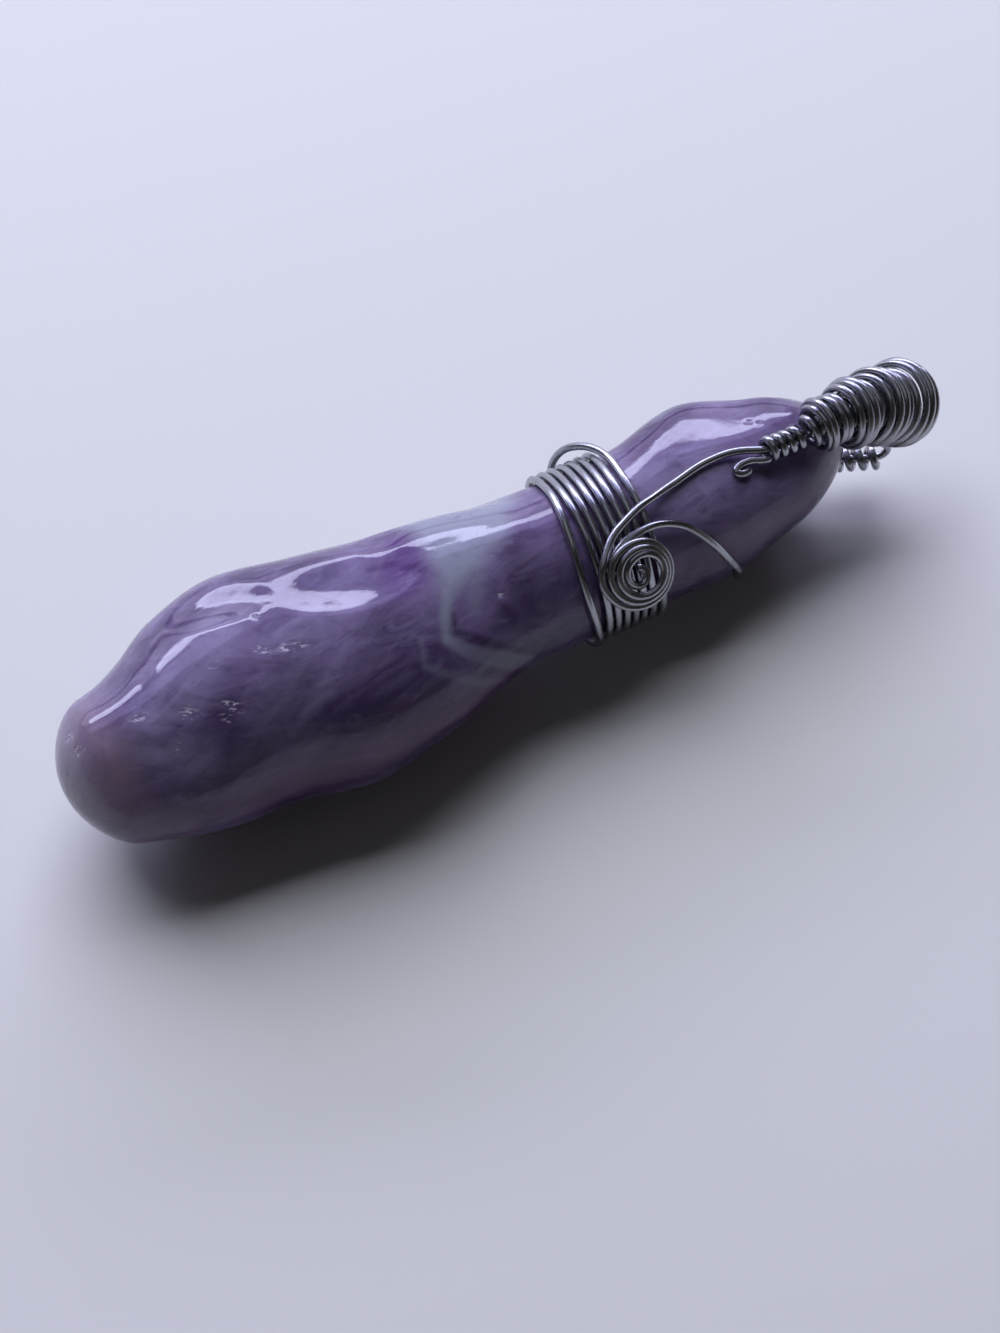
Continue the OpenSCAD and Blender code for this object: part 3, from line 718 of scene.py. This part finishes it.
# %% [markdown]
# The side wire comes out from under the spiral, sweeps over the flank and under the slim end, and
# ends past the tip, under the loops. It could be a Bezier curve, drawn by eye. Rows on the unrolled
# stone are used instead, because they keep it a set height above the surface. Only the part past
# the tip is free points.

# %% The side wire
ARC = [
    (57.6, 160, OVER),
    (57.0, 148, OVER),
    (57.0, 134, OVER),
    (57.7, 125, OVER),
    (59.4, 119.5, OVER),
    (61.3, 117.5, OVER),
    (63.2, 118.5, 1.2),
    (65.0, 123.5, 0.85),
    (66.4, 131, 0.65),
    (68.2, 148, LAY),
    (69.6, 166, LAY),
    (71.0, 187, LAY),
    (71.8, 212, LAY),
    (72.6, 240, LAY),
    (73.6, 264, LAY),
    (76.6, 274, LAY),
    (80.3, 273, LAY),
]
BACK_RUN = [(83.6, 0.9, 2.7), (85.6, 0.9, 3.5)]
BACK_CORE = [(87.4, 0.6, 4.3), (89.2, -0.2, 4.5), (91.2, -1.1, 4.7)]
BACK_END = [(92.3, -1.3, 5.4), (92.1, -1.2, 6.7), (90.8, -0.8, 7.8), (89.1, -0.5, 8.8)]


def side_arc_line():
    """Over the side of the stone, under it, through the back coil and up to its end."""
    return eased(np.vstack([on_stone(ARC), BACK_RUN, BACK_CORE, BACK_END]), reach=0.8)


print("side wire:", len(ARC), "points on the stone and", len(BACK_RUN + BACK_CORE + BACK_END), "past it")

# %% [markdown]
# Two small tight coils are wound round the other wires, one at the top of the stem and one behind
# the tip. A coil is a helix round a core, so the function that winds the neck winds these too. The
# front one keeps its loose end, which curls up beside the stem.

# %% The small coils
FRONT_TURNS, BACK_TURNS, COIL_STEPS = 4.5, 3.5, 12
FRONT_PHASE, BACK_PHASE = 110, 0
# the coil's loose end curls up small beside the stem
TAIL = [
    (74.5, 115.6, 0.46),
    (73.6, 116.2, 0.46),
    (73.0, 113.6, 0.46),
    (73.6, 110.6, 0.5),
    (74.8, 110.0, 0.8),
    (75.8, 112, 1.1),
]


def coil_line(core, turns, phase):
    rows = np.column_stack([core, np.full(len(core), COIL_R), np.zeros(len(core))])
    return coil(curve(rows, int(turns * COIL_STEPS / 2)), turns, phase)


def front_coil_line():
    tail = curve(on_stone(TAIL), steps=2)
    return np.vstack([tail, coil_line(on_stone(FRONT_CORE), FRONT_TURNS, FRONT_PHASE)])


def back_coil_line():
    return coil_line(np.array(BACK_CORE), BACK_TURNS, BACK_PHASE)


print("small coils:", FRONT_TURNS, "turns in front and", BACK_TURNS, "behind")

# %% [markdown]
# The outer winding holds the strands together at the neck and grows into the loops for the cord.
# It is wound tight and by hand, so it swells in knobs with a waist between them, its turns lean
# and stray a little, and here and there one crosses back over those before it. Placing each loop
# would take hundreds of points. One coil is wound instead, and a few slow waves unsettle it.

# %% The neck and the loops
# the core that it is wound on grows into the loops: x, y, z, radius, lean
WINDING = [
    (81.6, -1.4, 17.6, 1.5, 0),
    (82.7, -1.28, 17.57, 1.95, 0),
    (83.82, -1.16, 17.42, 2.05, 0),
    (84.95, -1.05, 17.17, 2.5, 0.05),
    (86.05, -0.94, 16.83, 2.8, 0.1),
    (87.1, -0.83, 16.4, 2.8, 0.15),
    (88.12, -0.72, 15.9, 3.05, 0.2),
    (89.14, -0.61, 15.36, 3.4, 0.25),
    (90.16, -0.51, 14.78, 3.4, 0.3),
    (91.16, -0.41, 14.17, 3.5, 0.35),
    (92.16, -0.32, 13.53, 3.85, 0.4),
    (93.16, -0.23, 12.87, 3.95, 0.45),
    (94.05, -0.15, 12.25, 3.85, 0.4),
]
WINDING_STEPS, WINDING_TURNS, WINDING_PHASE = 32, 16.75, 253
NECK_SHARE = 158  # points of the winding that are the neck's
# how far the turns stray, in mm, over how many turns, from which phase in degrees
STRAYS = {"lean": (0.16, 8.8, 0), "along": (0.04, 3.7, 200), "across": (0.12, 4.9, 90)}
KNOB_TURNS, KNOB_RISE, KNOB_DIP = 4.3, 0.8, 0.52  # turns in a knob, its height, and its waist's depth
KNOB_ROUND = 0.7  # how full a knob is, where 1 is a sine
# where a turn crosses back over those before it: turn, how far back and how far out in mm
CROSSINGS = [(2.4, 0.7, 0.3), (7.0, 0.5, 0.4)]
CROSSING_REACH = 0.6  # of a turn


def hand_wound():
    """The outer winding, with turns that bunch, swell and lean a little by turns."""
    core = curve(WINDING, WINDING_STEPS)
    turn = np.linspace(0, WINDING_TURNS, len(core))
    stray = {
        way: far * np.sin(2 * np.pi * turn / lap + math.radians(at))
        for way, (far, lap, at) in STRAYS.items()
    }
    core[:, 3] += KNOB_RISE * np.abs(np.sin(np.pi * turn / KNOB_TURNS)) ** KNOB_ROUND - KNOB_DIP
    core[:, 4] += stray["lean"]
    for at, back, out in CROSSINGS:
        near = np.exp(-(((turn - at) / CROSSING_REACH) ** 2))
        core[:, 3] += out * near
        stray["along"] -= back * near
    wound = coil(core, WINDING_TURNS, WINDING_PHASE)
    heading = unit(core[-1, :3] - core[0, :3])
    return wound + np.outer(stray["along"], heading) + np.outer(stray["across"], [0.0, 1.0, 0.0])


winding = hand_wound()


def neck_wrap_line():
    return winding[:NECK_SHARE]


def bail_loops_line():
    return winding[NECK_SHARE + 1 :]


LINES = {
    "waist_binding": waist_binding_line(),
    "front_scroll": front_scroll_line(),
    "side_arc": side_arc_line(),
    "front_coil": front_coil_line(),
    "back_coil": back_coil_line(),
    "neck_wrap": neck_wrap_line(),
    "bail_loops": bail_loops_line(),
}
for name, line in LINES.items():
    length = np.linalg.norm(np.diff(line, axis=0), axis=1).sum()
    print(f"{name}: {len(line)} points, {length:.0f} mm of wire")

# %% [markdown]
# Drawn steel wire is smooth and bright, and grey rather than white, because it mirrors a dim room.
# The die leaves very fine lines along it, and hands leave a film that dulls the shine in patches.
# The tree that draws it stores how far along and how far round the wire each point is, so the die
# lines follow every bend.

# %% Steel wire
def bright_drawn_steel_wire():
    """Gives the eye a dark, mirror-like metal with long narrow glints."""
    material = bpy.data.materials.new("bright_drawn_steel_wire")
    material.use_nodes = True
    tree = material.node_tree
    shader = tree.nodes["Principled BSDF"]
    along = node(tree, "ShaderNodeAttribute", attribute_name="along").outputs["Fac"]
    round_it = node(tree, "ShaderNodeAttribute", attribute_name="round_it").outputs["Fac"]
    place = node(tree, "ShaderNodeTexCoord").outputs["Object"]
    # die lines are a few microns apart; they are drawn 25 times coarser, so that they show
    strip = node(tree, "ShaderNodeCombineXYZ", {"X": round_it, "Y": along})
    stretch = node(tree, "ShaderNodeMapping", {"Vector": strip.outputs[0], "Scale": (24, 60, 1)})
    lines = node(tree, "ShaderNodeTexNoise", {"Vector": stretch.outputs[0], "Scale": 1.0, "Detail": 3.0})
    film = node(tree, "ShaderNodeTexNoise", {"Vector": place, "Scale": 1 / (2.5 * MM), "Detail": 4.0})
    tint = node(tree, "ShaderNodeMix", {0: film.outputs["Fac"]}, data_type="RGBA")
    tint.inputs[6].default_value = linear("#b6b8bd")
    tint.inputs[7].default_value = linear("#909197")
    tree.links.new(tint.outputs[2], shader.inputs["Base Color"])
    rough = node(
        tree,
        "ShaderNodeMapRange",
        {"Value": film.outputs["Fac"], "From Min": 0.3, "From Max": 0.7, "To Min": 0.18, "To Max": 0.32},
    )
    tree.links.new(rough.outputs[0], shader.inputs["Roughness"])
    die = {"Height": lines.outputs["Fac"], "Strength": 0.12, "Distance": 0.01 * MM}
    bump = node(tree, "ShaderNodeBump", die)
    tree.links.new(bump.outputs[0], shader.inputs["Normal"])
    shader.inputs["Metallic"].default_value = 1.0
    return material


steel = bright_drawn_steel_wire()
print("material:", steel.name, "with", len(steel.node_tree.nodes), "nodes")

# %% [markdown]
# A curve with a round bevel would draw a wire too, but its ends are cut square, and its UV map
# runs from 0 to 1 whatever its length. So a tree sweeps a ring along the line. It smooths the
# line, narrows the ends as cutters and a file leave them, stores the length along and the share
# round, and hands over a real mesh with its material.

# %% A tree that draws wire along a line
END_WIDTH = 0.72  # a cut end's width, as a share of the wire's


def drawn_wire_tree():
    """Sweeps a round section along a smooth spline, with slightly rounded ends."""
    tree = bpy.data.node_groups.new("drawn_wire", "GeometryNodeTree")
    sockets = {}
    tree.interface.new_socket("Geometry", in_out="INPUT", socket_type="NodeSocketGeometry")
    kinds = {"Gauge": "Float", "Sides": "Int", "Steps": "Int", "End round": "Float", "Material": "Material"}
    for name, kind in kinds.items():
        socket = tree.interface.new_socket(name, in_out="INPUT", socket_type="NodeSocket" + kind)
        sockets[name] = socket.identifier
    tree.interface.new_socket("Geometry", in_out="OUTPUT", socket_type="NodeSocketGeometry")
    given = node(tree, "NodeGroupInput").outputs
    path = node(tree, "GeometryNodeMeshToCurve", {"Mesh": given["Geometry"]})
    smooth = node(tree, "GeometryNodeCurveSplineType", {"Curve": path.outputs[0]}, spline_type="CATMULL_ROM")
    fine = node(
        tree, "GeometryNodeSetSplineResolution", {"Geometry": smooth.outputs[0], "Resolution": given["Steps"]}
    )
    baked = node(tree, "GeometryNodeResampleCurve", {"Curve": fine.outputs[0]}, mode="EVALUATED")
    here = node(tree, "GeometryNodeSplineParameter")
    whole = node(tree, "GeometryNodeSplineLength")
    left = node(
        tree, "ShaderNodeMath", {0: whole.outputs["Length"], 1: here.outputs["Length"]}, operation="SUBTRACT"
    )
    ends = {0: here.outputs["Length"], 1: left.outputs[0]}
    nearest = node(tree, "ShaderNodeMath", ends, operation="MINIMUM").outputs[0]
    taper = {"Value": nearest, "From Max": given["End round"], "To Min": END_WIDTH, "To Max": 1.0}
    end = node(tree, "ShaderNodeMapRange", taper, interpolation_type="SMOOTHSTEP")
    marked = node(
        tree,
        "GeometryNodeStoreNamedAttribute",
        {"Geometry": baked.outputs[0], "Name": "along", "Value": here.outputs["Length"]},
        domain="POINT",
    )
    half = node(tree, "ShaderNodeMath", {0: given["Gauge"], 1: 0.5}, operation="MULTIPLY")
    ring = node(
        tree, "GeometryNodeCurvePrimitiveCircle", {"Resolution": given["Sides"], "Radius": half.outputs[0]}
    )
    ring_here = node(tree, "GeometryNodeSplineParameter")
    ring_marked = node(
        tree,
        "GeometryNodeStoreNamedAttribute",
        {"Geometry": ring.outputs[0], "Name": "round_it", "Value": ring_here.outputs["Factor"]},
        domain="POINT",
    )
    swept = node(
        tree,
        "GeometryNodeCurveToMesh",
        {
            "Curve": marked.outputs[0],
            "Profile Curve": ring_marked.outputs[0],
            "Scale": end.outputs[0],
            "Fill Caps": True,
        },
    )
    shaded = node(tree, "GeometryNodeSetShadeSmooth", {"Geometry": swept.outputs[0]})
    real = node(tree, "GeometryNodeRealizeInstances", {"Geometry": shaded.outputs[0]})
    dress = {"Geometry": real.outputs[0], "Material": given["Material"]}
    dressed = node(tree, "GeometryNodeSetMaterial", dress)
    node(tree, "NodeGroupOutput", {"Geometry": dressed.outputs[0]})
    return tree, sockets


wire_tree, wire_sockets = drawn_wire_tree()
wire_values = {"Gauge": WIRE_D * MM, "Sides": 20, "Steps": 2, "End round": 0.15 * MM, "Material": steel}
print("wire tree:", len(wire_tree.nodes), "nodes, with inputs", sorted(wire_sockets))

# %% [markdown]
# The one tree now draws every line. A line goes in as a mesh of points and edges that are already
# in their place, because a finished piece's object has to sit at the origin, unturned.

# %% Draw every wire
wires = {}
for name, line in LINES.items():
    path = bpy.data.meshes.new(name + "_path")
    path.from_pydata(to_frame(line).tolist(), [(i, i + 1) for i in range(len(line) - 1)], [])
    wire = bpy.data.objects.new(name + "_wire", path)
    bpy.context.scene.collection.objects.link(wire)
    wires[name] = grown(wire, wire_tree, wire_sockets, wire_values)
    print(wire.name, len(wire.data.polygons), "faces")

# %% [markdown]
# Each made piece rides with the pendant's one body and stands for its solid, which is hidden.

# %% Tie the pieces to the frame
for name, wire in wires.items():
    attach(wire, "root")
    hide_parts(name)
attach(stone, "root")
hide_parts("stone")
print("pieces on the body root:", [stone.name, *(wire.name for wire in wires.values())])

# %% [markdown]
# The table is one plain, pale, matt sheet, wide enough that its edge never shows. It isn't part of
# the pendant.

# %% Table
TABLE_HALF = 3.0
table_mesh = bpy.data.meshes.new("table")
table_mesh.from_pydata(
    [(x * TABLE_HALF, y * TABLE_HALF, 0) for x, y in ((-1, -1), (1, -1), (1, 1), (-1, 1))], [], [(0, 1, 2, 3)]
)
table_top = bpy.data.objects.new("table", table_mesh)
bpy.context.scene.collection.objects.link(table_top)
pale = bpy.data.materials.new("matt_pale_laminate")
pale.use_nodes = True
pale.node_tree.nodes["Principled BSDF"].inputs["Base Color"].default_value = linear("#c5c5c8")
pale.node_tree.nodes["Principled BSDF"].inputs["Roughness"].default_value = 0.7
table_mesh.materials.append(pale)
print("table:", 2 * TABLE_HALF, "m across")


# %% [markdown]
# A large soft window high beyond the stone lights it and throws a short, soft shadow towards the
# viewer, and the gloss doesn't mirror it. What the gloss mirrors is a low, narrow bright strip,
# which draws the crisp lines along the stone's back, a dim violet sky above it, a lit wall under
# it, and a faint ceiling. The room is palest at the horizon and nearly dark overhead, and that is
# what the wire mirrors between its glints. One sky image would be simpler, but then light and
# reflections couldn't be placed apart.

# %% Window and room
AIM = (0, 0, 0.01)


def window(name, place, width, height, watts, colour, lights=True, mirrored=True):
    """A soft rectangular light over the pendant, which may only light things or only be mirrored."""
    light = bpy.data.lights.new(name, "AREA")
    light.shape = "RECTANGLE"
    light.size, light.size_y = width, height
    light.energy = watts
    light.color = linear(colour)[:3]
    lamp = bpy.data.objects.new(name, light)
    lamp.location = place
    lamp.rotation_euler = (Vector(AIM) - Vector(place)).to_track_quat("-Z", "Y").to_euler()
    lamp.visible_diffuse, lamp.visible_glossy = lights, mirrored
    bpy.context.scene.collection.objects.link(lamp)
    return lamp


window("soft_window", (0.05, 0.50, 0.72), 0.9, 0.6, 10.7, "#f0f3ff", mirrored=False)
window("bright_strip", (0.16, 0.70, 0.37), 1.2, 0.13, 5.2, "#dadcff")
window("pale_sky", (0.05, 0.62, 0.54), 1.3, 0.22, 1.9, "#b4b0ea", lights=False)
window("lit_wall", (0.05, 0.78, 0.21), 1.2, 0.26, 2.1, "#cac8e2")
window("ceiling", (0.00, 0.10, 0.90), 1.2, 0.8, 1.0, "#d8dcec", lights=False)
room = bpy.data.worlds.new("dim_room")
bpy.context.scene.world = room
room.use_nodes = True
backdrop = room.node_tree.nodes["Background"]
backdrop.inputs["Color"].default_value = linear("#c4bfbc")
heading = node(room.node_tree, "ShaderNodeTexCoord").outputs["Generated"]
height = node(room.node_tree, "ShaderNodeSeparateXYZ", {"Vector": heading}).outputs["Z"]
glow = {"Value": height, "From Min": 0.0, "From Max": 0.45, "To Min": 0.34, "To Max": 0.05}
fade = node(room.node_tree, "ShaderNodeMapRange", glow, interpolation_type="SMOOTHSTEP")
room.node_tree.links.new(fade.outputs["Result"], backdrop.inputs["Strength"])

# %% [markdown]
# The camera looks down at the pendant as the photograph's does. Its focal length is given in the
# photograph's pixels, which turn into a lens in millimetres for any size of sensor.

# %% Camera
FOCAL_PX, LONG_SIDE_PX, SENSOR_MM = 3000, 1333, 36
EYE_MM = (-60.08, -124.52, 276.8)
camera = bpy.data.cameras.new("camera")
camera.sensor_width = SENSOR_MM
camera.lens = SENSOR_MM * FOCAL_PX / LONG_SIDE_PX
eye = bpy.data.objects.new("camera", camera)
AZIMUTH, PITCH = math.radians(25.4), math.radians(64)
right = Vector((math.cos(AZIMUTH), -math.sin(AZIMUTH), 0))
ahead = Vector((math.sin(AZIMUTH) * math.cos(PITCH), math.cos(AZIMUTH) * math.cos(PITCH), -math.sin(PITCH)))
turn = Matrix((right, right.cross(ahead), -ahead)).transposed().to_4x4()
eye.matrix_world = Matrix.Translation(Vector(EYE_MM) * MM) @ turn
bpy.context.scene.collection.objects.link(eye)
bpy.context.scene.camera = eye
bpy.context.scene.view_settings.view_transform = "Standard"
print(f"camera: {camera.lens:.1f} mm lens, {Vector(EYE_MM).length / 10:.0f} cm from the pendant")
